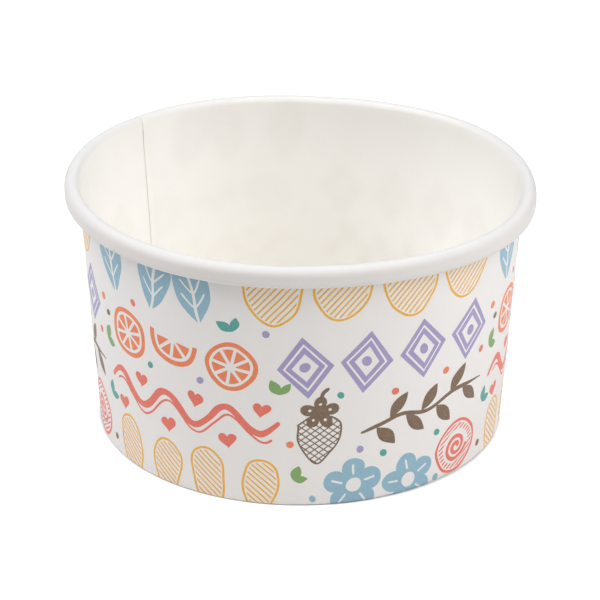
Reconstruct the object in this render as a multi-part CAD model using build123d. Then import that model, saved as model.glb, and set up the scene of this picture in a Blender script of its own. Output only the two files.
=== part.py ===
from build123d import *

import os
from math import atan, cos, degrees, radians, sin, tan

# Paper dessert cup, in millimetres. The origin is the centre of the foot, on the table, and +Z is up.
# The cup is two pieces of coated paper. The side wall is one sheet: rolled into a cone, lapped and sealed
# along its side seam, curled outward at the rim and folded up around the disc's skirt at the foot.

# Overall form
height = 50.5  # table to the top of the rim
rim_radius = 46.0  # over the outside of the curl
foot_radius = 40.2  # outside of the wall, carried down to the table

# Paper, and the film of coating between sealed faces
wall_paper = 0.35
disc_paper = 0.30
seal_film = 0.05

# Curled rim: over the lip, down the brow's wide bend, and under, where the cut edge is tucked up
curl_width = 2.8  # from the outside of the wall out
curl_height = 3.9
lip_hollow = 0.55  # radius left hollow inside the lip's bend where the paper is doubled
curl_flat = 0.1  # at the very top, between the bends of the lip and the brow
tuck_turn = 45.0  # degrees that the cut edge is turned up inside the curl
tuck_gap = 0.12  # from the tucked edge to the outer ply of the wall

# Foot: the disc's height above the table, and the hem folded up inside its skirt
recess = 6.0
hem_height = 5.0
fold_hollow = 0.085  # radius left hollow inside the fold
disc_bend = 0.7
skirt_gap = 0.2  # from the skirt's cut edge to the folds below it

# Side seam: the sheet's two ends lap, and the outer one steps down beside the inner one's cut edge
seam_bearing = 138.0  # degrees from +X of the cut edge that shows inside
lap_width = 8.0
ramp_width = 12.0
ramp_spans = 4

# What follows from the sizes above
neck_radius = rim_radius - curl_width  # outside of the wall where the curl ends
ply_step = wall_paper + seal_film  # from one ply to the next where the ends lap
lean = degrees(atan((neck_radius - foot_radius) / (height - curl_height)))
SLOPE = tan(radians(lean))
COS_LEAN = cos(radians(lean))
SIN_LEAN = sin(radians(lean))
lap_turn = degrees(lap_width / neck_radius)
ramp_turn = degrees(ramp_width / neck_radius)
film_turn = degrees(seal_film / foot_radius)
fold_bend = fold_hollow + wall_paper / 2
lip_bend = lip_hollow + ply_step + wall_paper / 2


def wall_middle(z, inward=0.0):
    """Radius at height z of a line parallel to the wall, this far inward of the middle of its paper."""
    return foot_radius + z * SLOPE - (wall_paper / 2 + inward) / COS_LEAN


def along(angle):
    """Unit step in the (radius, height) plane at this heading in degrees."""
    return Vector(cos(radians(angle)), 0, sin(radians(angle)))


def paper_edges(start, heading, moves, side):
    """Edges of a folded sheet's line that lies side millimetres to the right of its middle line.

    Each move is a straight run, then a bend of the middle line: its turn in degrees, left positive, and radius.
    """
    edges = []
    here = Vector(start[0], 0, start[1])
    for run, turn, radius in moves:
        right = along(heading - 90)
        there = here + along(heading) * run
        if run > 0:
            edges.append(Edge.make_line(here + right * side, there + right * side))
        here = there
        if turn:
            hand = 1 if turn > 0 else -1
            centre = here - right * (hand * radius)
            reach = radius + hand * side
            spokes = [along(heading + share * turn - 90) * (hand * reach) for share in (0, 0.5, 1)]
            edges.append(Edge.make_three_point_arc(*[centre + spoke for spoke in spokes]))
            heading += turn
            here = centre + along(heading - 90) * (hand * radius)
    return edges


def paper_face(start, heading, moves, left, right):
    """Section of a folded sheet between two lines, left and right of its middle line (right is positive)."""
    near = paper_edges(start, heading, moves, left)
    far = paper_edges(start, heading, moves, right)
    ends = [
        Edge.make_line(near[0] @ 0, far[0] @ 0),
        Edge.make_line(near[-1] @ 1, far[-1] @ 1),
    ]
    return Face(Wire(near + far + ends))


def wall_path(fold_level):
    """Middle line of the side wall's paper, from the hem's cut edge round the foot and up to the tucked edge.

    The fold at the foot lies fold_level above the table.
    """
    sandwich = wall_paper + disc_paper + 2 * seal_film
    fold_middle = fold_level + wall_paper / 2
    fold_top = fold_middle + fold_bend * (1 + SIN_LEAN)
    wall_foot = fold_middle + fold_bend * (1 - SIN_LEAN)
    lip_start = height - wall_paper / 2 - lip_bend * (1 - SIN_LEAN)
    lip_end = wall_middle(lip_start) + lip_bend * COS_LEAN
    brow_bend = rim_radius - wall_paper / 2 - lip_end - curl_flat
    tuck_edge = neck_radius + curl_height * SLOPE + ply_step + tuck_gap
    under_bend = (rim_radius - tuck_edge) / (1 + sin(radians(tuck_turn))) - wall_paper / 2
    moves = [
        ((hem_height - fold_top) / COS_LEAN, 90 + lean, fold_bend),
        ((sandwich - 2 * fold_bend) / COS_LEAN, 90 - lean, fold_bend),
        ((lip_start - wall_foot) / COS_LEAN, lean - 90, lip_bend),
        (curl_flat, -90, brow_bend),
        (curl_height - wall_paper - brow_bend - under_bend, -90 - tuck_turn, under_bend),
    ]
    start = (wall_middle(hem_height, sandwich), hem_height)
    return start, 270 - lean, moves


def wall_section(rise, fold_level):
    """The wall paper's section, moved towards its printed side by rise."""
    return paper_face(*wall_path(fold_level), rise - wall_paper / 2, rise + wall_paper / 2)


def sector(section, bearing, turn):
    """Revolves a section from this bearing on."""
    return revolve(Rot(0, 0, bearing) * section, Axis.Z, turn)


def seam_ramp():
    """The ply's way out from the wall to its place over the inner ply's end."""
    sections = []
    for i in range(ramp_spans + 1):
        share = i / ramp_spans
        rise = ply_step * share * share * (3 - 2 * share)
        turned = Rot(0, 0, seam_bearing + ramp_turn * (1 - share))
        sections.append(turned * wall_section(rise, rise))
    return loft(sections, ruled=True)


def side_wall():
    """One sheet: the inner ply's end, a single ply round the cup, the ramp and the outer ply's end."""
    lap_bearing = seam_bearing - lap_turn
    inner_end = sector(wall_section(0, ply_step), lap_bearing, lap_turn)
    single = sector(wall_section(0, 0), seam_bearing + ramp_turn, 360 - lap_turn - ramp_turn)
    outer_end = sector(wall_section(ply_step, ply_step), lap_bearing + film_turn, lap_turn - film_turn)
    return inner_end + single + seam_ramp() + outer_end


def bottom_disc():
    """Flat disc with its skirt turned down between the wall and the hem."""
    inward = wall_paper / 2 + seal_film + disc_paper / 2
    middle = recess + disc_paper / 2
    skirt_top = middle - disc_bend * (1 + SIN_LEAN)
    skirt_end = ply_step + wall_paper + skirt_gap
    bend_start = wall_middle(skirt_top, inward) - disc_bend * COS_LEAN
    moves = [
        (bend_start, -90 - lean, disc_bend),
        ((skirt_top - skirt_end) / COS_LEAN, 0, 0),
    ]
    section = paper_face((0, middle), 0, moves, -disc_paper / 2, disc_paper / 2)
    return revolve(section, Axis.Z, 360)


os.makedirs("parts", exist_ok=True)
for name, piece in {"side_wall": side_wall(), "bottom_disc": bottom_disc()}.items():
    export_step(piece, f"parts/{name}.step")
    print(name, f"{piece.volume:.1f} mm3", piece.is_valid, len(piece.solids()), piece.bounding_box())
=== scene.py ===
from functools import lru_cache
from math import atan, cos, degrees, exp, hypot, pi, radians, sin, tan

import bmesh
import bpy
import numpy as np
from mathutils import Matrix, Vector
from mathutils.geometry import delaunay_2d_cdt

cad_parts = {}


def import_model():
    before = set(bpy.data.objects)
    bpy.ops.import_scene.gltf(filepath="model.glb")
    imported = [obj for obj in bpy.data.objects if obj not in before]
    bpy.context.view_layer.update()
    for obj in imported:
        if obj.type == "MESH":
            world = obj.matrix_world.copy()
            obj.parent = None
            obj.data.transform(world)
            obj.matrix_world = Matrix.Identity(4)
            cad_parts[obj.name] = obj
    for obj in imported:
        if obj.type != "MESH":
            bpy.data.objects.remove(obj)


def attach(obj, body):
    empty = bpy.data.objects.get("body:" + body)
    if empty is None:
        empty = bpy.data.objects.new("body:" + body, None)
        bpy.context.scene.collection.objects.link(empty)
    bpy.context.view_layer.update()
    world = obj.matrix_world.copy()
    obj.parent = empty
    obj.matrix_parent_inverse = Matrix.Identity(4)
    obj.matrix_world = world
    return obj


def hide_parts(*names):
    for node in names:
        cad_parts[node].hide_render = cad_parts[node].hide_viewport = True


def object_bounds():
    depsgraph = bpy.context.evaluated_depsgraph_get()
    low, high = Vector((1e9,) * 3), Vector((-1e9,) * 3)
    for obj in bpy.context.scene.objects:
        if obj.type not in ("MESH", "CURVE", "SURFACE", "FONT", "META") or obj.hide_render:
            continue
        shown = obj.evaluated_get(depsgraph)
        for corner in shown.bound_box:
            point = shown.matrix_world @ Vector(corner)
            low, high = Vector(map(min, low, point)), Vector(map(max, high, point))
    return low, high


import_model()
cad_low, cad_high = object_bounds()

# Looks of the paper dessert cup: its paper sheet and disc in full detail, its print, its light and camera.
# Sizes are in millimetres up to the function "place", which turns them into Blender's metres.
MM = 0.001

# The cup, as in the part's source; its height and its rim come from the frame
height = cad_high.z / MM
rim_radius = cad_high.x / MM
foot_radius = 40.2
wall_paper = 0.35
disc_paper = 0.30
seal_film = 0.05
curl_width = 2.8
curl_height = 3.9
lip_hollow = 0.55
curl_flat = 0.1
tuck_turn = 45.0
tuck_gap = 0.12
recess = 6.0
hem_height = 5.0
fold_hollow = 0.085
disc_bend = 0.7
skirt_gap = 0.2
seam_bearing = 138.0
lap_width = 8.0
ramp_width = 12.0

neck_radius = rim_radius - curl_width
ply_step = wall_paper + seal_film
lean = degrees(atan((neck_radius - foot_radius) / (height - curl_height)))
SLOPE = tan(radians(lean))
COS_LEAN = cos(radians(lean))
SIN_LEAN = sin(radians(lean))
lap_turn = degrees(lap_width / neck_radius)
ramp_turn = degrees(ramp_width / neck_radius)
fold_bend = fold_hollow + wall_paper / 2
lip_bend = lip_hollow + ply_step + wall_paper / 2

# Fine detail that only the looks have
station_turn = 1.0  # degrees between the sheet's stations
fold_drop_turn = 3.0  # over this turn the fold comes down to the table beside the outer ply's end
knurl_depth = 0.05  # of the ribs that the sealing wheel presses into the hem
knurl_start = 0.9  # from the hem's cut edge down
knurl_end = 4.6
knurl_fade = 0.5
pressed_turn = 4.0  # over this turn the sealed end of the inner ply is pressed thin
pressed_depth = 0.27
pressed_film = 0.03  # the seal's film there
pressed_kept = 0.3  # share of the pressing that stays where the plies lie flush
flush_level = 44.0  # from here up the plies are pressed together, and lie nearly flush over the rim
disc_dish = 0.25  # the pressed disc's sag at its middle


def unit(angle):
    """Unit step in the (radius, height) plane at this heading in degrees."""
    return np.array([cos(radians(angle)), sin(radians(angle))])


def smooth(share):
    """Smooth step from 0 to 1."""
    share = min(max(share, 0.0), 1.0)
    return share * share * (3 - 2 * share)


def wall_middle(z, inward=0.0):
    """Radius at height z of a line parallel to the wall, this far inward of the middle of its paper."""
    return foot_radius + z * SLOPE - (wall_paper / 2 + inward) / COS_LEAN


def folded_line(start, heading, moves):
    """Points on a folded sheet's middle line, and at each the unit step to the line's right.

    Each move is a straight run, then a bend: its turn in degrees, left positive, and radius. Last come the
    rows of the run and of the bend.
    """
    points = []
    rights = []
    here = np.array(start)
    for run, turn, radius, run_rows, bend_rows in moves:
        right = unit(heading - 90)
        for i in range(run_rows):
            points.append(here + unit(heading) * (run * i / run_rows))
            rights.append(right)
        here = here + unit(heading) * run
        hand = 1 if turn > 0 else -1
        centre = here - right * (hand * radius)
        for i in range(bend_rows):
            spoke = unit(heading + turn * i / bend_rows - 90)
            points.append(centre + spoke * (hand * radius))
            rights.append(spoke)
        heading += turn
        here = centre + unit(heading - 90) * (hand * radius)
    points.append(here)
    rights.append(unit(heading - 90))
    return np.array(points), np.array(rights)


# Rows along the sheet, for each move of the wall's line: its run and its bend
HEM_ROWS = (8, 6)
SOLE_ROWS = (1, 6)
WALL_ROWS = (46, 9)
BROW_ROWS = (1, 12)
SIDE_ROWS = (3, 14)
FIRST_WALL_ROW = sum(HEM_ROWS) + sum(SOLE_ROWS)
LIP_ROW = FIRST_WALL_ROW + WALL_ROWS[0]


def wall_line(fold_level):
    """Middle line of the side wall's paper, from the hem's cut edge round the foot to the tucked edge."""
    sandwich = wall_paper + disc_paper + 2 * seal_film
    fold_middle = fold_level + wall_paper / 2
    fold_top = fold_middle + fold_bend * (1 + SIN_LEAN)
    wall_foot = fold_middle + fold_bend * (1 - SIN_LEAN)
    lip_start = height - wall_paper / 2 - lip_bend * (1 - SIN_LEAN)
    lip_end = wall_middle(lip_start) + lip_bend * COS_LEAN
    brow_bend = rim_radius - wall_paper / 2 - lip_end - curl_flat
    tuck_edge = neck_radius + curl_height * SLOPE + ply_step + tuck_gap
    under_bend = (rim_radius - tuck_edge) / (1 + sin(radians(tuck_turn))) - wall_paper / 2
    moves = [
        ((hem_height - fold_top) / COS_LEAN, 90 + lean, fold_bend, *HEM_ROWS),
        ((sandwich - 2 * fold_bend) / COS_LEAN, 90 - lean, fold_bend, *SOLE_ROWS),
        ((lip_start - wall_foot) / COS_LEAN, lean - 90, lip_bend, *WALL_ROWS),
        (curl_flat, -90, brow_bend, *BROW_ROWS),
        (curl_height - wall_paper - brow_bend - under_bend, -90 - tuck_turn, under_bend, *SIDE_ROWS),
    ]
    return folded_line((wall_middle(hem_height, sandwich), hem_height), 270 - lean, moves)


# The sheet is followed by its turn in degrees from the inner ply's cut edge, towards falling bearings
sheet_turn = 360 + lap_turn


def flush_at(row, z):
    """How far the plies are pressed flush with each other: not at all low on the wall, fully at the rim."""
    return 1.0 if row > LIP_ROW else smooth((z - flush_level) / (height - flush_level))


def rise_at(turn, flush=0.0):
    """How far the sheet has moved towards its printed side, on its way over its own other end."""
    slow = smooth((turn - 360 + ramp_turn) / ramp_turn)
    quick = smooth((turn - 360 + pressed_turn) / (2 * pressed_turn))
    return ply_step * (slow + (quick - slow) * flush)


def faces_at(turn, flush):
    """The sheet's inner and printed faces, measured towards its printed side.

    The inner ply's end is pressed thin, and stays under the outer ply where that comes down beside it.
    """
    rise = rise_at(turn, flush)
    end = 1 - smooth(turn / pressed_turn)
    inner = rise - wall_paper / 2 + end * pressed_depth * (1 - (1 - pressed_kept) * flush)
    printed = rise + wall_paper / 2
    if turn <= lap_turn:
        printed = min(printed, rise_at(turn + 360, flush) - wall_paper / 2 - pressed_film)
    return inner, printed


def fold_level_at(turn):
    """Height above the table of the fold, which rests on the other ply or on the table."""
    if turn < 180:
        return ply_step * smooth((lap_turn + fold_drop_turn - turn) / fold_drop_turn)
    return rise_at(turn)


def knurl_at(turn, along_hem):
    """Depth of the ribs pressed into the hem, as a wave of straight flanks that the stations meet."""
    if not knurl_start < along_hem < knurl_end:
        return 0.0
    phase = (turn / station_turn) % 2
    fade = smooth((along_hem - knurl_start) / knurl_fade) * smooth((knurl_end - along_hem) / knurl_fade)
    return knurl_depth * fade * (1 - abs(phase - 1))


# How this cup is a little out of true, as waves round it. Each number of waves has its cosine and sine
# parts in millimetres
RIM_OUT = {2: (-0.07, -0.18), 3: (0.07, 0.08), 4: (-0.39, -0.05), 5: (-0.17, -0.08)}
CURL_OUT = {1: (-0.25, 0.03)}
RIM_UP = {1: (-0.08, -0.07), 2: (0.04, -0.08)}
FOOT_OUT = {2: (-0.12, 0.07), 3: (0.19, 0.08)}
# and a soft kink in the rim at the back
KINK_BEARING = 84.0
KINK_SPREAD = 4.5
KINK_DROP = 0.16
KINK_OUT = 0.14


def waves(parts, around):
    """Sum of waves at this place round the cup."""
    return sum(c * cos(n * around) + s * sin(n * around) for n, (c, s) in parts.items())


@lru_cache(maxsize=None)
def untrue_at(bearing):
    """Departures here: the rim's, curl's and foot's outward, the rim's upward, and the kink's share."""
    around = radians(bearing)
    off_kink = (bearing - KINK_BEARING + 180) % 360 - 180
    kink = exp(-((off_kink / KINK_SPREAD) ** 2))
    return (*[waves(parts, around) for parts in (RIM_OUT, CURL_OUT, FOOT_OUT, RIM_UP)], kink)


def place(bearing, radius, z):
    """Point in metres at this bearing, radius and height, on a cup that is a little out of true."""
    up = max(z, 0.0) / height
    rim_out, curl_out, foot_out, rim_up, kink = untrue_at(bearing)
    kink *= up**8
    out = rim_out * up**1.5 + curl_out * up**4 + foot_out * (1 - up)
    radius += out * min(radius / foot_radius, 1.0) + KINK_OUT * kink
    z += rim_up * up**3 - KINK_DROP * kink
    return Vector((radius * cos(radians(bearing)), radius * sin(radians(bearing)), z)) * MM


def new_piece(name, points, faces, materials, material_of=None, sharp_angle=35.0):
    """Mesh object with smooth faces that meet in hard edges only where they turn sharply."""
    mesh = bpy.data.meshes.new(name)
    mesh.from_pydata(points, [], faces)
    for material in materials:
        mesh.materials.append(material)
    if material_of is not None:
        mesh.polygons.foreach_set("material_index", material_of)
    tidy = bmesh.new()
    tidy.from_mesh(mesh)
    bmesh.ops.recalc_face_normals(tidy, faces=tidy.faces)
    tidy.to_mesh(mesh)
    tidy.free()
    mesh.polygons.foreach_set("use_smooth", [True] * len(mesh.polygons))
    mesh.set_sharp_from_angle(angle=radians(sharp_angle))
    mesh.update()
    piece = bpy.data.objects.new(name, mesh)
    bpy.context.scene.collection.objects.link(piece)
    return piece


# Materials
def linear(code):
    """Linear colour of a hex code, as red, green, blue and alpha."""
    parts = [int(code[i : i + 2], 16) / 255 for i in (1, 3, 5)]
    return (*[c / 12.92 if c <= 0.04045 else ((c + 0.055) / 1.055) ** 2.4 for c in parts], 1.0)


def shaded(colour, share):
    """The colour with this share of its brightness."""
    return (*[c * share for c in colour[:3]], 1.0)


class Nodes:
    """Short hand for building one material's nodes."""

    def __init__(self, name):
        self.material = bpy.data.materials.new(name)
        self.material.use_nodes = True
        self.tree = self.material.node_tree
        self.shader = self.tree.nodes["Principled BSDF"]
        self.place = self.add("ShaderNodeTexCoord").outputs["Object"]

    def add(self, kind, **settings):
        node = self.tree.nodes.new(kind)
        for key, value in settings.items():
            setattr(node, key, value)
        return node

    def link(self, out, into):
        self.tree.links.new(out, into)

    def noise(self, scale, detail=3.0, roughness=0.55, stretch=None):
        """Noise with this many cells to the metre, in object space."""
        node = self.add("ShaderNodeTexNoise")
        node.inputs["Scale"].default_value = scale
        node.inputs["Detail"].default_value = detail
        node.inputs["Roughness"].default_value = roughness
        source = self.place
        if stretch:
            mapping = self.add("ShaderNodeMapping")
            mapping.inputs["Scale"].default_value = stretch
            self.link(source, mapping.inputs["Vector"])
            source = mapping.outputs["Vector"]
        self.link(source, node.inputs["Vector"])
        return node.outputs["Fac"]

    def spread(self, value, low, high, from_low=0.3, from_high=0.7):
        """Value taken from one range to another."""
        node = self.add("ShaderNodeMapRange")
        ends = {"From Min": from_low, "From Max": from_high, "To Min": low, "To Max": high}
        for key, number in ends.items():
            node.inputs[key].default_value = number
        self.link(value, node.inputs["Value"])
        return node.outputs["Result"]

    def blend(self, factor, first, second):
        """Mix of two colours, each a colour or a socket."""
        node = self.add("ShaderNodeMix", data_type="RGBA")
        self.link(factor, node.inputs["Factor"])
        for key, colour in (("A", first), ("B", second)):
            socket = [s for s in node.inputs if s.name == key and s.type == "RGBA"][0]
            if isinstance(colour, tuple):
                socket.default_value = colour
            else:
                self.link(colour, socket)
        return [s for s in node.outputs if s.type == "RGBA"][0]

    def bump(self, value, depth, strength=1.0):
        """Relief of this depth in millimetres."""
        node = self.add("ShaderNodeBump")
        node.inputs["Strength"].default_value = strength
        node.inputs["Distance"].default_value = depth * MM
        self.link(value, node.inputs["Height"])
        self.link(node.outputs["Normal"], self.shader.inputs["Normal"])


CLOUD_SHADE = 0.985  # of the paper's brightness, where its formation is cloudy
FIBRE_SHADE = 0.97


def paper(name, colour, rough_low, rough_high, relief, ghost=None, curled=()):
    """Coated paper: cloudy, with fine fibres under the coating, and a ghost of the print as painted shade.

    Over the rim it takes the tones curled: its top's, and on its outer side a darker one, painted shade.
    """
    nodes = Nodes(name)
    cloud = nodes.noise(260.0, detail=4.0)
    fibre = nodes.noise(2600.0, detail=2.0, stretch=(1.0, 1.0, 0.6))
    body = nodes.blend(nodes.spread(cloud, 0.0, 1.0), colour, shaded(colour, CLOUD_SHADE))
    body = nodes.blend(nodes.spread(fibre, 0.0, 0.5), body, shaded(colour, FIBRE_SHADE))
    if ghost:
        seen = nodes.add("ShaderNodeAttribute", attribute_name="ghost").outputs["Fac"]
        body = nodes.blend(seen, body, ghost)
    for attribute, tone in curled:
        share = nodes.add("ShaderNodeAttribute", attribute_name=attribute).outputs["Fac"]
        clouded = nodes.blend(nodes.spread(cloud, 0.0, 1.0), tone, shaded(tone, CLOUD_SHADE))
        body = nodes.blend(share, body, clouded)
    nodes.link(body, nodes.shader.inputs["Base Color"])
    nodes.link(nodes.spread(fibre, rough_low, rough_high), nodes.shader.inputs["Roughness"])
    nodes.shader.inputs["IOR"].default_value = 1.46
    nodes.bump(fibre, relief, 0.35)
    return nodes.material


# The cut edge's colour up the cup: pale board, a brown tick a little under the rim, and white at the rim
EDGE_TONES = (
    (0.0, "#F9F9E6"), (25.0, "#F6F6DA"), (41.0, "#F4F1D4"), (46.2, "#F0E6CC"), (47.4, "#A0845F"),
    (48.3, "#DDD0BC"), (49.4, "#F6F4EF"), (50.4, "#F8F6F0"),
)


def raw_edge():
    """Cut edge of the board: bare fibre, with a brown tick under the rim."""
    nodes = Nodes("raw_paper_edge")
    fibre = nodes.noise(3000.0, detail=3.0, stretch=(1.0, 1.0, 0.25))
    up = nodes.add("ShaderNodeSeparateXYZ")
    nodes.link(nodes.place, up.inputs["Vector"])
    ramp = nodes.add("ShaderNodeValToRGB")
    stops = ramp.color_ramp.elements
    while len(stops) < len(EDGE_TONES):
        stops.new(0.5)
    for stop, (z, code) in zip(stops, EDGE_TONES):
        stop.position = z / height
        stop.color = linear(code)
    nodes.link(nodes.spread(up.outputs["Z"], 0.0, 1.0, 0.0, height * MM), ramp.inputs["Fac"])
    body = nodes.blend(nodes.spread(fibre, 0.0, 0.25), ramp.outputs["Color"], linear("#EDE4CC"))
    nodes.link(body, nodes.shader.inputs["Base Color"])
    nodes.link(nodes.spread(fibre, 0.75, 0.95), nodes.shader.inputs["Roughness"])
    nodes.bump(fibre, 0.02, 0.5)
    return nodes.material


def ink(name, code):
    """Printed ink: a thin satin film, a little uneven, with fine pinholes of paper."""
    nodes = Nodes(name)
    colour = linear(code)
    cloud = nodes.noise(420.0, detail=3.0)
    grain = nodes.noise(4200.0, detail=2.0)
    body = nodes.blend(nodes.spread(cloud, 0.0, 1.0), colour, shaded(colour, 0.93))
    paler = (*[c + (1 - c) * 0.12 for c in colour[:3]], 1.0)
    body = nodes.blend(nodes.spread(grain, 0.0, 1.0, 0.5, 0.75), body, paler)
    nodes.link(body, nodes.shader.inputs["Base Color"])
    nodes.link(nodes.spread(grain, 0.42, 0.56), nodes.shader.inputs["Roughness"])
    nodes.shader.inputs["IOR"].default_value = 1.46
    nodes.bump(grain, 0.006, 0.3)
    return nodes.material


# Print, drawn flat: x runs to the right round the wall from the middle of its front, and y up from the
# table. It repeats three times round the cup, and all of it is plain ornament: leaves, fruit, flowers, waves
# and dots.
print_radius = (foot_radius + neck_radius) / 2
front_turn = seam_bearing + 90.0
tile = 2 * pi * print_radius / 3
ink_top = 0.02
ink_base = -0.01
print_ceiling = (height - 2.2) / COS_LEAN

INKS = {
    "blue": "#92BACC",
    "mustard": "#F3B63A",
    "orange": "#F08654",
    "purple": "#A69CC6",
    "coral": "#EC7460",
    "brown": "#785F46",
    "green": "#7FA860",
    "teal": "#4FA39A",
}


def turned(points, degrees_left, middle=(0.0, 0.0)):
    """Points turned about a middle."""
    c = cos(radians(degrees_left))
    s = sin(radians(degrees_left))
    points = np.asarray(points, dtype=float) - middle
    return points @ np.array([[c, s], [-s, c]]) + middle


def hand_drawn(outline, wobble=0.13):
    """The outline with the slow wobble of a hand-cut shape."""
    x, y = np.asarray(outline, dtype=float).T
    shift_x = np.sin(0.8 * y + 0.4 * x + 0.4) + 0.3 * np.sin(1.6 * x - 0.7 * y)
    shift_y = np.sin(0.7 * x - 0.5 * y + 1.9) + 0.3 * np.sin(1.5 * y + 0.6 * x + 0.8)
    return np.stack([x + wobble * shift_x, y + wobble * shift_y], axis=1)


def oval(middle, half_width, half_height, tilt=0.0, steps=40):
    """Ellipse."""
    t = np.linspace(0, 2 * pi, steps, endpoint=False)
    points = np.stack([half_width * np.cos(t), half_height * np.sin(t)], axis=1) + middle
    return turned(points, tilt, middle)


def petals(middle, radius, count, depth, tilt=0.0, steps=90):
    """Round flower with this many petals."""
    t = np.linspace(0, 2 * pi, steps, endpoint=False)
    reach = radius * (1 - depth * (1 - np.abs(np.cos(count * t / 2)) ** 0.8))
    points = np.stack([reach * np.cos(t), reach * np.sin(t)], axis=1) + middle
    return turned(points, tilt, middle)


def drop(middle, half_width, half_height, tilt=0.0, steps=44):
    """Drop with its point up."""
    t = np.linspace(0, 2 * pi, steps, endpoint=False)
    across = half_width * 1.12 * np.sin(t) * np.sin(t / 2) ** 1.5
    points = np.stack([across, half_height * np.cos(t)], axis=1)
    return turned(points + middle, tilt, middle)


def leaf(tip, length, half_width, heading, steps=14):
    """Leaf from its stalk, as two arcs."""
    t = np.linspace(0, 1, steps)
    bulge = half_width * np.sin(pi * t) ** 0.9
    upper = np.stack([length * t, bulge], axis=1)
    lower = np.stack([length * t, -bulge], axis=1)[-2:0:-1]
    return turned(np.concatenate([upper, lower]), heading) + tip


def flow(points, steps=8):
    """Smooth open curve through the points."""
    points = np.asarray(points, dtype=float)
    padded = np.concatenate([2 * points[:1] - points[1:2], points, 2 * points[-1:] - points[-2:-1]])
    curve = []
    for a, b, c, d in zip(padded, padded[1:], padded[2:], padded[3:]):
        square = 2 * a - 5 * b + 4 * c - d
        cube = 3 * b - a - 3 * c + d
        for t in np.arange(steps) / steps:
            curve.append(0.5 * (2 * b + (c - a) * t + square * t**2 + cube * t**3))
    curve.append(points[-1])
    return np.array(curve)


def stroke(curve, width, start_share=1.0, end_share=1.0):
    """Outline of a pen stroke along an open curve, with round ends."""
    curve = np.asarray(curve, dtype=float)
    ahead = np.gradient(curve, axis=0)
    ahead /= np.linalg.norm(ahead, axis=1)[:, None]
    left = np.stack([-ahead[:, 1], ahead[:, 0]], axis=1)
    t = np.linspace(0, 1, len(curve))
    taper = np.minimum(1, np.minimum(start_share + t * 5, end_share + (1 - t) * 5))
    half = (width / 2 * taper)[:, None]
    ends = ((curve[-1], ahead[-1], left[-1], half[-1]), (curve[0], -ahead[0], -left[0], half[0]))
    caps = []
    for point, direction, side, size in ends:
        turn = np.linspace(0, pi, 7)[1:-1, None]
        caps.append(point + size * (np.cos(turn) * side + np.sin(turn) * direction))
    return np.concatenate([curve + half * left, caps[0], (curve - half * left)[::-1], caps[1]])


def spiral(middle, start_radius, end_radius, start_angle, turns, steps=30):
    """Curve that winds out from near its middle."""
    t = np.linspace(0, 1, steps)
    angle = np.radians(start_angle) + 2 * pi * turns * t
    radius = start_radius + (end_radius - start_radius) * t
    return np.stack([radius * np.cos(angle), radius * np.sin(angle)], axis=1) + middle


def inset(outline, distance):
    """The outline moved inward by a distance, with its corners kept."""
    outline = np.asarray(outline)
    before = outline - np.roll(outline, 1, axis=0)
    after = np.roll(outline, -1, axis=0) - outline
    before /= np.linalg.norm(before, axis=1)[:, None]
    after /= np.linalg.norm(after, axis=1)[:, None]
    area = (outline[:, 0] * np.roll(outline[:, 1], -1) - outline[:, 1] * np.roll(outline[:, 0], -1)).sum()
    hand = 1 if area > 0 else -1
    normal = np.stack([-before[:, 1] - after[:, 1], before[:, 0] + after[:, 0]], axis=1) * hand
    normal /= np.linalg.norm(normal, axis=1)[:, None]
    corner = (normal * np.stack([-after[:, 1], after[:, 0]], axis=1) * hand).sum(axis=1)
    return outline + normal * (distance / np.maximum(corner, 0.4))[:, None]


class Field:
    """Part of the print in one ink: its areas less its holes, and only in stripes where it is hatched."""

    def __init__(self, colour, areas, holes=(), stripes=None):
        self.colour = colour
        self.areas = [hand_drawn(area) for area in areas]
        self.holes = [hand_drawn(hole) for hole in holes]
        everything = np.concatenate(self.areas)
        self.low = everything.min(axis=0)
        self.high = everything.max(axis=0)
        self.stripes = [hand_drawn(stripe, 0.05) for stripe in self.hatch(*stripes)] if stripes else []

    def hatch(self, angle, pitch, width):
        """Stripes across the field's box."""
        middle = (self.low + self.high) / 2
        reach = np.linalg.norm(self.high - self.low) / 2
        count = int(reach / pitch)
        along = np.linspace(-reach, reach, 9)
        for i in range(-count, count + 1):
            edge = np.stack([along, np.full(9, i * pitch)], axis=1)
            half = np.array([0, width / 2])
            yield turned(np.concatenate([edge + half, (edge - half)[::-1]]) + middle, angle, middle)

    def holds(self, points):
        """Which points the ink covers."""
        kept = np.zeros(len(points), dtype=bool)
        for area in self.areas:
            kept |= inside(points, area)
        for hole in self.holes:
            kept &= ~inside(points, hole)
        if self.stripes:
            lined = np.zeros(len(points), dtype=bool)
            for stripe in self.stripes:
                lined |= inside(points, stripe)
            kept &= lined
        return kept


def inside(points, outline):
    """Which points lie inside a closed outline."""
    x, y = points[:, :1], points[:, 1:]
    x0, y0 = outline.T
    x1, y1 = np.roll(outline, -1, axis=0).T
    rise = np.where(y1 == y0, 1e-12, y1 - y0)
    crossed = ((y0 > y) != (y1 > y)) & (x < (x1 - x0) * (y - y0) / rise + x0)
    return crossed.sum(axis=1) % 2 == 1


def outlined(colour, outline, line=0.45, hatch_angle=45.0):
    """Shape drawn as an outline and diagonal hatching."""
    inner = inset(outline, line)
    return [
        Field(colour, [outline], [inner]),
        Field(colour, [inset(inner, 0.25)], stripes=(hatch_angle, 0.92, 0.32)),
    ]


def inline(colour, outline, thickness):
    """Bold ring with a fine line of paper let into it."""
    band = inset(outline, thickness)
    fine = inset(outline, thickness * 0.40)
    fine_end = inset(outline, thickness * 0.58)
    return [Field(colour, [outline], [fine]), Field(colour, [fine_end], [band])]


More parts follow.
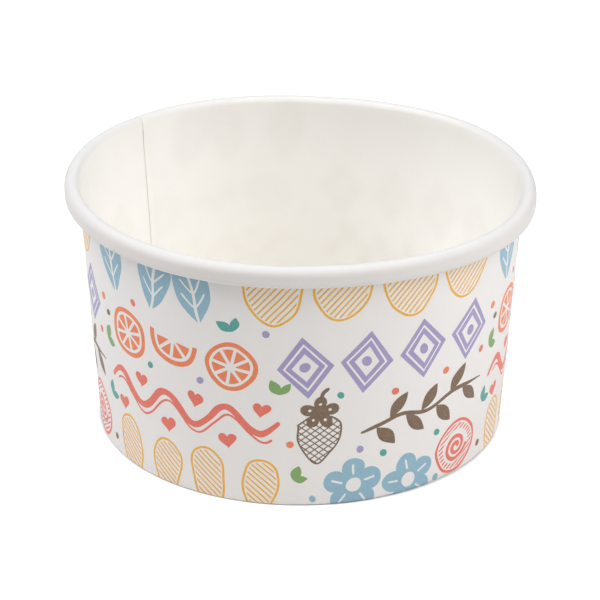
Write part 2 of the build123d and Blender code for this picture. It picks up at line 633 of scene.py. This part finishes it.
def heart(middle, size, tilt=0.0, steps=36):
    """Heart of this half width."""
    t = np.linspace(0, 2 * pi, steps, endpoint=False)
    x = np.sin(t) ** 3
    y = (13 * np.cos(t) - 5 * np.cos(2 * t) - 2 * np.cos(3 * t) - np.cos(4 * t)) / 16
    return turned(np.stack([x, y], axis=1) * size + middle, tilt, middle)


def broad_leaf(stalk, length, half_width, heading):
    """Solid leaf with its ribs left bare."""
    ahead = unit(heading)
    tip = np.asarray(stalk) + ahead * (length * 0.86)
    ribs = [stroke(flow([stalk, np.asarray(stalk) + ahead * length * 0.4, tip]), 0.62, 1.0, 0.35)]
    for share in (0.2, 0.38, 0.56):
        for hand in (-1, 1):
            base = np.asarray(stalk) + ahead * (length * share)
            end = base + unit(heading + 38 * hand) * (half_width * 0.98 * (1.12 - share * 0.5))
            ribs.append(stroke(flow([base, (base + end) / 2 + ahead * -0.12, end]), 0.4, 1.0, 0.6))
    return [Field("blue", [leaf(stalk, length, half_width, heading, 22)], ribs)]


def citrus(middle, radius, tilt, half=False):
    """Slice of fruit: its rind as a ring, and its flesh in wedges."""
    wedges = []
    count = 4 if half else 8
    span = (180.0 if half else 360.0) / count
    for i in range(count):
        heading = tilt + span * (i + 0.5) - (180.0 if half else 0.0)
        spread = span / 2 - 5.5
        arc = [radius * 0.70 * unit(heading + spread * share) for share in np.linspace(-1, 1, 7)]
        root = [radius * 0.17 * unit(heading)]
        wedges.append(np.array(root + arc) + middle)
    if not half:
        rim = oval(middle, radius, radius, steps=60)
        pith = oval(middle, radius * 0.82, radius * 0.82)
        return [Field("orange", [rim], [pith]), Field("orange", wedges)]
    t = np.radians(tilt - 180 + np.linspace(-4, 184, 40))
    outer = np.stack([np.cos(t), np.sin(t)], axis=1)
    rind = np.concatenate([outer * radius, outer[::-1] * radius * 0.82]) + middle
    return [Field("orange", [rind]), Field("orange", wedges)]


def lozenge(middle, half_width, half_height, tilt):
    """Bold lozenge with a fine inner line and a dot."""
    x, y = middle
    corners = [(x - half_width, y), (x, y - half_height), (x + half_width, y), (x, y + half_height)]
    dot = Field("purple", [oval(middle, 0.95, 1.05, steps=20)])
    return [*inline("purple", turned(corners, tilt, middle), 2.1), dot]


def wave(left, right, level, swing, length):
    """Broad wave with a fine one below it, and hearts in its bays."""
    x = np.linspace(left, right, 70)
    y = level + swing * np.sin(2 * pi * (x - left) / length)
    broad = np.stack([x, y], axis=1)
    fine = np.stack([x + 0.5, y - 1.7], axis=1)[3:-3]
    found = [Field("coral", [stroke(broad, 1.35, 0.6, 0.6)]), Field("coral", [stroke(fine, 0.42)])]
    for i in range(int((right - left) / length * 2)):
        place_x = left + length * (0.25 + i / 2)
        below = i % 2 == 0
        y = level + (-swing - 1.9 if below else swing + 0.4)
        found.append(Field("coral", [heart((place_x + 0.2, y), 1.75, 8.0 * (1 if below else -1))]))
    return found


def berry(middle):
    """Berry with a chequered body and a solid leafy cap."""
    x, y = middle
    bends = [(-4.3, 2.2), (-3.9, -2.0), (-0.4, -6.4), (3.3, -2.2), (4.3, 2.0), (2.3, 3.8), (-2.0, 3.9)]
    body = flow(bends, 7) + (x, y)
    under_cap = oval((x, y + 4.6), 3.4, 2.1)
    found = [Field("brown", [body], [inset(body, 0.34)])]
    for angle in (38.0, -38.0):
        found.append(Field("brown", [inset(body, 0.3)], [under_cap], (angle, 1.05, 0.22)))
    cap = petals((x, y + 4.6), 3.6, 5, 0.5, 18.0, 70)
    around = 2 * pi * np.arange(5) / 5 + 0.31
    seeds = [oval((x + 1.9 * cos(a), y + 4.6 + 1.9 * sin(a)), 0.3, 0.3, steps=12) for a in around]
    found.append(Field("brown", [cap], seeds))
    stalk = flow([(x, y + 7.6), (x + 0.5, y + 8.9), (x + 1.6, y + 9.8)])
    found.append(Field("brown", [stroke(stalk, 0.8, 1.0, 0.6)]))
    return found


def branch(stem, blades, length, half_width):
    """Branch with leaves on both sides in turn."""
    found = [Field("brown", [stroke(stem, 0.85, 0.5, 0.3)])]
    pace = (len(stem) - 6) / blades
    for i in range(blades):
        at = stem[int(3 + pace * i)]
        hand = 1 if i % 2 else -1
        found.append(Field("brown", [leaf(at + (0.2, 0.3 * hand), length, half_width, 50.0 * hand + 5)]))
    return found


def flower(middle, radius, tilt):
    """Bold flower with a bare heart and a slit in each petal."""
    middle = np.asarray(middle, dtype=float)
    slits = []
    for i in range(5):
        ahead = unit(72 * i + tilt)
        slits.append(stroke([middle + 0.42 * radius * ahead, middle + 0.74 * radius * ahead], 0.45))
    heart_hole = oval(middle, 1.55, 1.55, steps=24)
    return [Field("blue", [petals(middle, radius, 5, 0.36, tilt, 120)], [heart_hole, *slits])]


def sweet(middle, radius):
    """Wound sweet: a ring, a hatched band and a spiral."""
    ring = oval(middle, radius, radius, steps=60)
    band = oval(middle, radius * 0.84, radius * 0.84, steps=50)
    core = oval(middle, radius * 0.64, radius * 0.64)
    coil = stroke(spiral(middle, 0.45, radius * 0.54, 20.0, 1.9, 44), 0.85)
    return [
        Field("coral", [ring], [inset(ring, 0.6)]),
        Field("coral", [band], [core], (30.0, 0.9, 0.38)),
        Field("coral", [coil]),
    ]


def sprig(colour, stalk, heading, length):
    """Two small leaves from one stalk."""
    leaves = [leaf(stalk, length, 0.95, heading), leaf(stalk, length * 0.85, 0.85, heading - 68)]
    return [Field(colour, leaves)]


def tile_fields():
    """One repeat of the print."""
    fields = []
    # Cut by the rim: broad leaves and hatched pennants
    for x, heading in ((-39.4, 98.0), (-29.0, 82.0), (-18.4, 101.0)):
        fields += broad_leaf((x, 36.4), 16.5, 3.8, heading)
    for i, x in enumerate((-5.0, 7.6, 20.2, 32.8)):
        pennant = oval((x, 47.6), 5.6, 9.6 - 0.9 * (i % 2), 3.0 * (-1) ** i, 56)
        fields += outlined("mustard", pennant, hatch_angle=50.0)
    # Upper middle: fruit and lozenges
    fields += citrus((-36.2, 29.2), 5.0, 10.0)
    fields += citrus((-24.4, 31.8), 5.4, -8.0, half=True)
    fields += citrus((-12.6, 28.8), 5.0, 32.0)
    for i, x in enumerate((1.0, 12.4, 23.8, 35.2)):
        fields += lozenge((x, 29.6 + 0.5 * i), 5.1, 6.4, 5.0 * (-1) ** i)
    # Lower middle: a wave, a berry and a branch
    fields += wave(-43.0, -4.0, 17.6, 2.5, 13.0)
    fields += berry((3.8, 15.4))
    stem = flow([(12.0, 15.0), (19.0, 17.4), (26.0, 17.0), (33.0, 19.2), (40.4, 19.0)])
    fields += branch(stem, 7, 6.0, 1.3)
    # Cut by the foot: hatched petals, flowers and a sweet
    for i, x in enumerate((-37.6, -27.6, -17.6, -7.6)):
        petal = drop((x, 1.5), 4.6, 9.2 - 0.8 * (i % 2), 180 + 5.0 * (-1) ** i, 64)
        fields += outlined("mustard", petal, hatch_angle=-42.0)
    for i, x in enumerate((10.6, 22.6)):
        fields += flower((x, 3.8 - 1.2 * i), 6.0, 90.0 + 14 * i)
    fields += sweet((34.8, 6.0), 5.8)
    # Small things in the gaps
    sprigs = (
        ("green", (-44.6, 24.6), 65.0, 3.6),
        ("green", (-3.6, 23.8), 120.0, 3.6),
        ("teal", (-12.0, 36.2), 150.0, 3.6),
        ("green", (-0.9, 5.6), 75.0, 3.2),
        ("teal", (42.6, 12.4), 80.0, 3.6),
    )
    for colour, stalk, heading, length in sprigs:
        fields += sprig(colour, stalk, heading, length)
    dots = {
        "teal": ((-30.4, 24.6), (7.6, 23.4), (28.6, 11.2), (16.4, 9.8)),
        "coral": ((18.2, 22.8), (39.8, 25.4), (-34.0, 36.4)),
        "orange": ((29.6, 24.4), (42.4, 33.4), (-1.6, 13.2)),
        "purple": ((-18.8, 24.6), (-6.2, 36.4), (11.6, 11.6)),
        "brown": ((-43.4, 30.6), (42.8, 3.4)),
        "blue": ((2.6, 1.4), (29.4, 0.9)),
    }
    for colour, places in dots.items():
        fields += [Field(colour, [oval(at, 0.72, 0.72, steps=18)]) for at in places]
    return fields


def printed_rows(points, rights):
    """Places up the printed face of a line's points, which run on below the table round the fold."""
    face = points + rights * (wall_paper / 2)
    steps = np.linalg.norm(np.diff(face, axis=0), axis=1)
    rows = np.concatenate([[0.0], np.cumsum(steps)])
    foot = FIRST_WALL_ROW
    return rows - rows[foot] + face[foot, 1] / COS_LEAN


LINES = {}


def line_at(turn):
    """The sheet's line at this turn: its rows up the printed face, its points and their steps rightward."""
    level = round(fold_level_at(turn), 4)
    if level not in LINES:
        points, rights = wall_line(level)
        LINES[level] = (printed_rows(points, rights), points, rights)
    return LINES[level]


# Where the ink is cut, so that it follows the hem and its fold
plain_rows = line_at(180.0)[0]
fold_rows = plain_rows[sum(HEM_ROWS) - HEM_ROWS[1] : FIRST_WALL_ROW + 1]
hem_rows = plain_rows[: HEM_ROWS[0]]
lap_edge_row = line_at(sheet_turn)[0][0]


def turn_of(x):
    """Turn along the sheet of a place in the print."""
    return front_turn - degrees(x / print_radius)


def x_of(turn):
    """Place in the print of a turn along the sheet."""
    return radians(front_turn - turn) * print_radius


def printed_point(x, y, lift):
    """Point on the printed face, raised by lift."""
    turn = turn_of(x)
    rows, points, rights = line_at(turn)
    radius, z = (np.interp(y, rows, points[:, i]) for i in (0, 1))
    right = np.array([np.interp(y, rows, rights[:, i]) for i in (0, 1)])
    right /= hypot(*right)
    out = rise_at(turn, flush_at(0, z)) + wall_paper / 2 + lift
    if y < fold_rows[0]:
        out -= knurl_at(turn, hem_height - z)
    return place(seam_bearing - turn, radius + out * right[0], z + out * right[1])


def ink_triangles(field, shift, left_limit, right_limit):
    """The field's triangles in the print's plane, cut at the sheet's ends and at its curved rows."""
    low = field.low + (shift - 0.1, -0.1)
    high = field.high + (shift + 0.1, 0.1)
    if low[0] > right_limit or high[0] < left_limit:
        return [], []
    points = []
    edges = []

    def run(line, closed=True):
        first = len(points)
        points.extend(Vector(p) for p in line)
        last = len(points) - 1
        edges.extend((i, i + 1) for i in range(first, last))
        if closed:
            edges.append((last, first))

    for outline in field.areas + field.holes + field.stripes:
        run(outline + (shift, 0))
    reaches_fold = low[1] < fold_rows[-1] + 0.2
    pace = station_turn if reaches_fold else 2 * station_turn
    first_turn = pace * int(turn_of(high[0]) / pace)
    for turn in np.arange(first_turn, turn_of(low[0]) + pace, pace):
        run([(x_of(turn), low[1]), (x_of(turn), high[1])], closed=False)
    levels = [print_ceiling, *fold_rows, *hem_rows, lap_edge_row] if reaches_fold else [print_ceiling]
    for level in levels:
        if low[1] < level < high[1]:
            run([(low[0], level), (high[0], level)], closed=False)
    for limit in (left_limit, right_limit):
        if low[0] < limit < high[0]:
            run([(limit, low[1]), (limit, high[1])], closed=False)
    found, _, triangles, _, _, _ = delaunay_2d_cdt(points, edges, [], 0, 1e-3, False)
    found = np.array([tuple(p) for p in found])
    triangles = np.array([t for t in triangles if len(t) == 3])
    middles = found[triangles].mean(axis=1)
    kept = field.holds(middles - (shift, 0))
    kept &= (middles[:, 0] > left_limit) & (middles[:, 0] < right_limit)
    kept &= middles[:, 1] < print_ceiling
    if reaches_fold:
        kept &= middles[:, 1] > [line_at(turn_of(x))[0][0] for x in middles[:, 0]]
    return found, triangles[kept]


def ink_slab(found, triangles, points, faces):
    """Adds a thin closed slab of ink, laid on the paper, to a mesh's points and faces."""
    used = np.unique(triangles)
    number = {int(old): len(points) + i for i, old in enumerate(used)}
    lower = len(used)
    points.extend(printed_point(*found[i], ink_top) for i in used)
    points.extend(printed_point(*found[i], ink_base) for i in used)
    sides = {}
    for a, b, c in triangles:
        a, b, c = number[int(a)], number[int(b)], number[int(c)]
        faces.append((a, b, c))
        faces.append((c + lower, b + lower, a + lower))
        for pair in ((a, b), (b, c), (c, a)):
            sides[pair] = True
    for a, b in sides:
        if (b, a) not in sides:
            faces.append((b, a, a + lower, b + lower))


def printed_inks(fields):
    """One object for each ink, with all its repeats round the cup."""
    left_limit = x_of(sheet_turn)
    right_limit = x_of(lap_turn + 0.02)
    for colour, code in INKS.items():
        points = []
        faces = []
        for field in fields:
            if field.colour != colour:
                continue
            for repeat in range(-2, 3):
                found, triangles = ink_triangles(field, repeat * tile, left_limit, right_limit)
                if len(triangles):
                    ink_slab(found, triangles, points, faces)
        piece = new_piece(f"print_{colour}", points, faces, [ink(f"ink_{colour}", code)])
        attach(piece, "root")


# The print shows faintly through the paper, painted as shade on the inside: how much of it lies near each
# place, out of focus
GHOST_CELL = 0.5
GHOST_BELOW = 6.0  # the map's reach below the table, and above the print's ceiling
GHOST_ABOVE = 2.0
GHOST_BLUR = 1.1
GHOST_STRENGTH = 0.12
GHOST_WEIGHT = {"blue": 0.9, "mustard": 0.45, "orange": 0.7, "purple": 0.9, "coral": 0.8, "brown": 1.0}


def ghost_map(fields):
    """Blurred cover of one repeat of the print, in cells from its left end and from the hem's edge."""
    across = int(tile / GHOST_CELL)
    upward = int((print_ceiling + GHOST_BELOW + GHOST_ABOVE) / GHOST_CELL)
    x = (np.arange(across) + 0.5) * tile / across - tile / 2
    y = (np.arange(upward) + 0.5) * GHOST_CELL - GHOST_BELOW
    cover = np.zeros((across, upward))
    for field in fields:
        weight = GHOST_WEIGHT.get(field.colour, 0.5)
        for shift in (-tile, 0.0, tile):
            i = np.flatnonzero((x - shift > field.low[0]) & (x - shift < field.high[0]))
            j = np.flatnonzero((y > field.low[1]) & (y < field.high[1]))
            if len(i) and len(j):
                grid = np.stack(np.meshgrid(x[i] - shift, y[j], indexing="ij"), axis=2).reshape(-1, 2)
                held = field.holds(grid).reshape(len(i), len(j))
                cover[np.ix_(i, j)] = np.maximum(cover[np.ix_(i, j)], held * weight)
    reach = int(3 * GHOST_BLUR / GHOST_CELL)
    kernel = np.exp(-0.5 * (np.arange(-reach, reach + 1) * GHOST_CELL / GHOST_BLUR) ** 2)
    kernel /= kernel.sum()
    blurred = sum(k * np.roll(cover, s, axis=0) for k, s in zip(kernel, range(-reach, reach + 1)))
    return np.apply_along_axis(lambda column: np.convolve(column, kernel, mode="same"), 1, blurred)


def ghost_at(cover, turn, y):
    """The ghost's strength at a turn along the sheet and a place up it."""
    i = ((x_of(turn) + tile / 2) % tile) / tile * cover.shape[0] - 0.5
    j = min(max((y + GHOST_BELOW) / GHOST_CELL - 0.5, 0), cover.shape[1] - 1.001)
    i0, j0 = int(i // 1), int(j)
    di, dj = i - i0, j - j0
    corners = [cover[(i0 + a) % cover.shape[0], j0 + b] for a, b in ((0, 0), (1, 0), (0, 1), (1, 1))]
    lower = corners[0] * (1 - di) + corners[1] * di
    upper = corners[2] * (1 - di) + corners[3] * di
    return lower * (1 - dj) + upper * dj


def side_wall(cover):
    """The wall's one sheet of paper, swept along its turn, with its two faces and its cut edges."""
    whole = int(sheet_turn / station_turn)
    turns = [i * station_turn for i in range(whole + 1)] + [sheet_turn]
    points = []
    ghost = []
    curl = []
    painted_rim_shade = []
    for turn in turns:
        rows, middle, rights = line_at(turn)
        bearing = seam_bearing - turn
        for side, order in ((-1, range(len(rows))), (1, reversed(range(len(rows))))):
            for i in order:
                if i < FIRST_WALL_ROW:
                    out = rise_at(turn) + side * wall_paper / 2
                    out -= knurl_at(turn, hem_height - middle[i, 1]) * (i < HEM_ROWS[0])
                else:
                    out = faces_at(turn, flush_at(i, middle[i, 1]))[side > 0]
                radius, z = middle[i] + rights[i] * out
                points.append(place(bearing, radius, z))
                ghost.append(ghost_at(cover, turn, rows[i]) if side < 0 and z > recess else 0.0)
                # The rim's own tone, and the painted shade on its outer side and underside, each coming in
                # over a bend
                curl.append(smooth((i - LIP_ROW) / WALL_ROWS[1]))
                painted_rim_shade.append(smooth((i - LIP_ROW - WALL_ROWS[1] - BROW_ROWS[0]) / BROW_ROWS[1]))
    ring = len(points) // len(turns)
    faces = []
    material_of = []
    rows = ring // 2
    for s in range(len(turns) - 1):
        for i in range(ring):
            a, b = s * ring + i, s * ring + (i + 1) % ring
            faces.append((a, b, b + ring, a + ring))
            material_of.append(2 if i in (rows - 1, ring - 1) else (0 if i < rows else 1))
    last = (len(turns) - 1) * ring
    for i in range(rows - 1):
        j = ring - 1 - i
        faces.append((i, i + 1, j - 1, j))
        faces.append((last + j, last + j - 1, last + i + 1, last + i))
        material_of += [2, 2]
    # The inside's tone is partly the coated board's own white and partly painted light, standing in for
    # light that shines in through the wall. Over the rim the top's tone leaves that painted light out, and
    # the darker tone after it is painted shade on the rim's outer side and underside.
    curled = (("curl", linear("#F4F3F2")), ("painted_rim_shade", linear("#E6E2DE")))
    # The ghost's tone darkens the inside as painted shade of the print seen through the wall.
    inner = paper("paper_inside", linear("#FDFBF7"), 0.56, 0.68, 0.012, linear("#B9A893"), curled)
    outer = paper("paper_outside", linear("#F3F0ED"), 0.58, 0.70, 0.012)
    piece = new_piece("cup_wall", points, faces, [inner, outer, raw_edge()], material_of)
    for name, values in (("ghost", [g * GHOST_STRENGTH for g in ghost]), ("curl", curl), ("painted_rim_shade", painted_rim_shade)):
        piece.data.attributes.new(name, "FLOAT", "POINT").data.foreach_set("value", values)
    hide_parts("side_wall")
    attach(piece, "root")
    return piece


def bottom_disc():
    """The disc and its skirt, pressed a little hollow."""
    inward = wall_paper / 2 + seal_film + disc_paper / 2
    middle = recess + disc_paper / 2
    skirt_top = middle - disc_bend * (1 + SIN_LEAN)
    skirt_end = ply_step + wall_paper + skirt_gap
    bend_start = wall_middle(skirt_top, inward) - disc_bend * COS_LEAN
    moves = [
        (bend_start, -90 - lean, disc_bend, 14, 9),
        ((skirt_top - skirt_end) / COS_LEAN, 0, 0, 6, 0),
    ]
    line, rights = folded_line((0.0, middle), 0.0, moves)
    sag = [disc_dish * (1 - smooth(r / (bend_start - 3))) for r in line[:, 0]]
    line[:, 1] -= sag
    top = (line - rights * (disc_paper / 2))[1:]
    under = (line + rights * (disc_paper / 2))[1:]
    ring_line = np.concatenate([top, under[::-1]])
    spokes = 240
    points = []
    for s in range(spokes):
        bearing = 360.0 * s / spokes
        points.extend(place(bearing, radius, z) for radius, z in ring_line)
    ring = len(ring_line)
    faces = []
    for s in range(spokes):
        a, b = s * ring, (s + 1) % spokes * ring
        faces.extend((a + i, b + i, b + i + 1, a + i + 1) for i in range(ring - 1))
    for i, side in ((0, -1), (ring - 1, 1)):
        centre = len(points)
        points.append(place(0.0, 0.0, line[0, 1] - side * disc_paper / 2))
        faces.extend((centre, s * ring + i, (s + 1) % spokes * ring + i) for s in range(spokes))
    material = paper("paper_disc", linear("#FBF8F2"), 0.56, 0.68, 0.014)
    piece = new_piece("cup_bottom", points, faces, [material])
    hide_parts("bottom_disc")
    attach(piece, "root")


# Camera, as the photograph was taken
CAMERA_DISTANCE = 487.8
CAMERA_ELEVATION = 24.70
FRAME_PIXELS = 600
FOCAL_PIXELS = 2468.6
ROLL = 0.60
TARGET_ABOVE_MIDDLE = 7.48  # pixels from the picture's middle up to the cup's middle
TARGET_RIGHT = -0.10  # millimetres from the cup's axis
SENSOR = 36.0


def camera():
    """Camera at the photograph's angle, aimed a little below the cup's middle."""
    lens = bpy.data.cameras.new("camera")
    lens.sensor_width = SENSOR
    lens.lens = FOCAL_PIXELS / FRAME_PIXELS * SENSOR
    eye = bpy.data.objects.new("camera", lens)
    bpy.context.scene.collection.objects.link(eye)
    elevation = radians(CAMERA_ELEVATION)
    middle = Vector((TARGET_RIGHT, 0, height / 2))
    away = Vector((0, -cos(elevation), sin(elevation)))
    dip = atan(TARGET_ABOVE_MIDDLE / FOCAL_PIXELS)
    pitch = pi / 2 - elevation - dip
    turn = Matrix.Rotation(pitch, 4, "X") @ Matrix.Rotation(radians(ROLL), 4, "Z")
    eye.matrix_world = Matrix.Translation((middle + away * CAMERA_DISTANCE) * MM) @ turn
    bpy.context.scene.camera = eye


# Soft lamps: bearing and elevation in degrees, distance and size in metres, watts, and tint
LAMPS = {
    "lamp_right": (350.0, 31.0, 0.9, 0.8, 3.65, (0.93, 0.95, 1.0)),
    "lamp_left": (183.0, 50.0, 0.9, 0.8, 7.5, (0.97, 0.98, 1.0)),
    "lamp_front_right": (315.0, 46.0, 0.9, 0.8, 4.0, (1.0, 0.97, 0.925)),
}
FLOOR_GREY = 0.88
FLOOR_SEEN_GREY = 0.80
# The floor's own glow to the camera rises in two steps, given in metres from the cup's axis. There is none
# under the cup, so that its thin contact shadow stays. Then comes most of white, and full white where the
# lamps light the floor less.
FLOOR_GLOW_STEPS = ((0.0399, 0.0408, 0.6), (0.2, 0.7, 0.4))


def lamp(name, bearing, elevation, distance, size, power, tint):
    """Soft square lamp, turned to the cup."""
    light = bpy.data.lights.new(name, "AREA")
    light.shape = "SQUARE"
    light.size = size
    light.energy = power
    light.color = tint
    holder = bpy.data.objects.new(name, light)
    bpy.context.scene.collection.objects.link(holder)
    flat, up = unit(elevation) * distance
    holder.location = (*(unit(bearing) * flat), up + height / 2 * MM)
    aim = Vector((0, 0, height / 2 * MM)) - holder.location
    holder.rotation_euler = aim.to_track_quat("-Z", "Y").to_euler()


def seen(tree, *rays):
    """Socket that is 1 for rays of these kinds."""
    path = tree.nodes.new("ShaderNodeLightPath")
    either = tree.nodes.new("ShaderNodeMath")
    either.operation = "MAXIMUM"
    for i, ray in enumerate(rays):
        tree.links.new(path.outputs[ray], either.inputs[i])
    return either.outputs["Value"]


def floor():
    """Pale floor that is seen as white and keeps the cup's shadow."""
    half_size = 3.0
    level = -0.12 * MM  # a hair below the foot, so that the dark under the cup shows as a thin line
    signs = ((-1, -1), (1, -1), (1, 1), (-1, 1))
    mesh = bpy.data.meshes.new("floor")
    mesh.from_pydata([(x * half_size, y * half_size, level) for x, y in signs], [], [(0, 1, 2, 3)])
    piece = bpy.data.objects.new("floor", mesh)
    bpy.context.scene.collection.objects.link(piece)
    material = bpy.data.materials.new("pale_floor")
    material.use_nodes = True
    tree = material.node_tree
    tree.nodes.clear()
    out = tree.nodes.new("ShaderNodeOutputMaterial")
    lighting = tree.nodes.new("ShaderNodeBsdfDiffuse")
    lighting.inputs["Color"].default_value = (FLOOR_GREY, FLOOR_GREY, FLOOR_GREY, 1)
    matt = tree.nodes.new("ShaderNodeBsdfDiffuse")
    matt.inputs["Color"].default_value = (FLOOR_SEEN_GREY, FLOOR_SEEN_GREY, FLOOR_SEEN_GREY, 1)
    glow = tree.nodes.new("ShaderNodeEmission")
    spot = tree.nodes.new("ShaderNodeTexCoord")
    away = tree.nodes.new("ShaderNodeVectorMath")
    away.operation = "LENGTH"
    tree.links.new(spot.outputs["Object"], away.inputs[0])
    total = tree.nodes.new("ShaderNodeMath")
    for i, (begin, full, part) in enumerate(FLOOR_GLOW_STEPS):
        rise = tree.nodes.new("ShaderNodeMapRange")
        for key, number in (("From Min", begin), ("From Max", full), ("To Min", 0.0), ("To Max", part)):
            rise.inputs[key].default_value = number
        tree.links.new(away.outputs["Value"], rise.inputs["Value"])
        tree.links.new(rise.outputs["Result"], total.inputs[i])
    tree.links.new(total.outputs["Value"], glow.inputs["Strength"])
    sum_of = tree.nodes.new("ShaderNodeAddShader")
    mix = tree.nodes.new("ShaderNodeMixShader")
    tree.links.new(matt.outputs["BSDF"], sum_of.inputs[0])
    tree.links.new(glow.outputs["Emission"], sum_of.inputs[1])
    tree.links.new(seen(tree, "Is Camera Ray", "Is Glossy Ray"), mix.inputs["Fac"])
    tree.links.new(lighting.outputs["BSDF"], mix.inputs[1])
    tree.links.new(sum_of.outputs["Shader"], mix.inputs[2])
    tree.links.new(mix.outputs["Shader"], out.inputs["Surface"])
    mesh.materials.append(material)


def world():
    """Plain white background, which sheds no light on the cup."""
    sky = bpy.data.worlds.new("studio")
    sky.use_nodes = True
    tree = sky.node_tree
    tree.nodes.clear()
    out = tree.nodes.new("ShaderNodeOutputWorld")
    white = tree.nodes.new("ShaderNodeBackground")
    white.inputs["Color"].default_value = (1, 1, 1, 1)
    tree.links.new(seen(tree, "Is Camera Ray", "Is Transmission Ray"), white.inputs["Strength"])
    tree.links.new(white.outputs["Background"], out.inputs["Surface"])
    bpy.context.scene.world = sky


bpy.context.scene.view_settings.view_transform = "Standard"
camera()
world()
for name, settings in LAMPS.items():
    lamp(name, *settings)
floor()

fields = tile_fields()
side_wall(ghost_map(fields))
bottom_disc()
printed_inks(fields)
